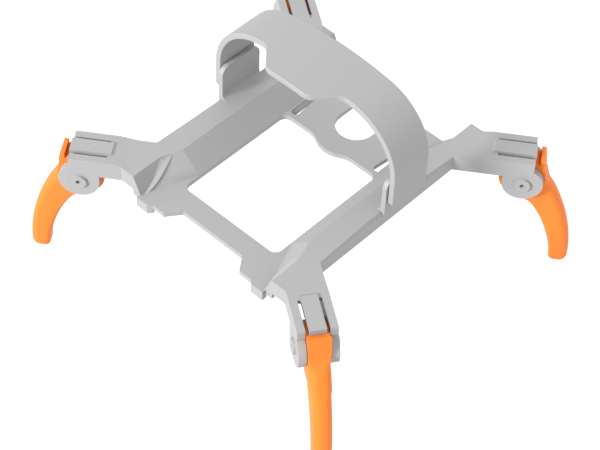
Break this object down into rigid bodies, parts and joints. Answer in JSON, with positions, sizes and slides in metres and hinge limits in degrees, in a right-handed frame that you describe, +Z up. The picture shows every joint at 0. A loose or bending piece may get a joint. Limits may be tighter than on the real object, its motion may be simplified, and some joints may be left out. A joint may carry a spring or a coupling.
{
  "type": "drone landing gear",
  "caption": "Clip-on landing gear for a small drone: an open cradle frame with a hoop over the body and splayed legs that fold on pins.",
  "frame": {"origin": "on the ground, below the middle of the four feet", "axes": "+X across the rails to the right, +Y along the rails to the end behind the hoop, +Z up"},
  "size_m": [0.125, 0.1152, 0.0787],
  "materials": {
    "grey_moulding": "satin moulded",
    "orange_moulding": "satin moulded",
    "pin_steel": "turned"
  },
  "bodies": {
    "cradle": {"base_frame": "grey_moulding", "hinge_pin_front_left": "pin_steel", "hinge_pin_front_right": "pin_steel", "hinge_pin_rear_left": "pin_steel", "hinge_pin_rear_right": "pin_steel"},
    "hoop": {"top_hoop": "grey_moulding"},
    "leg_body_front_left": {"leg_front_left": "orange_moulding"},
    "leg_body_front_right": {"leg_front_right": "orange_moulding"},
    "leg_body_rear_left": {"leg_rear_left": "orange_moulding"},
    "leg_body_rear_right": {"leg_rear_right": "orange_moulding"}
  },
  "joints": [
    {"name": "fold_front_left", "type": "hinge", "parent": "cradle", "child": "leg_body_front_left", "pos_m": [-0.0472, -0.04595, 0.0359], "axis": [0.5721, -0.8202, 0], "range_deg": [0, 105]},
    {"name": "fold_front_right", "type": "hinge", "parent": "cradle", "child": "leg_body_front_right", "pos_m": [0.0472, -0.04595, 0.0359], "axis": [0.5721, 0.8202, 0], "range_deg": [0, 105]},
    {"name": "fold_rear_left", "type": "hinge", "parent": "cradle", "child": "leg_body_rear_left", "pos_m": [-0.0472, 0.04595, 0.0359], "axis": [-0.5721, -0.8202, 0], "range_deg": [0, 105]},
    {"name": "fold_rear_right", "type": "hinge", "parent": "cradle", "child": "leg_body_rear_right", "pos_m": [0.0472, 0.04595, 0.0359], "axis": [-0.5721, 0.8202, 0], "range_deg": [0, 105]},
    {"name": "hoop_lift", "type": "slide", "parent": "cradle", "child": "hoop", "axis": [0, 0, 1], "range_m": [0, 0.01]}
  ]
}
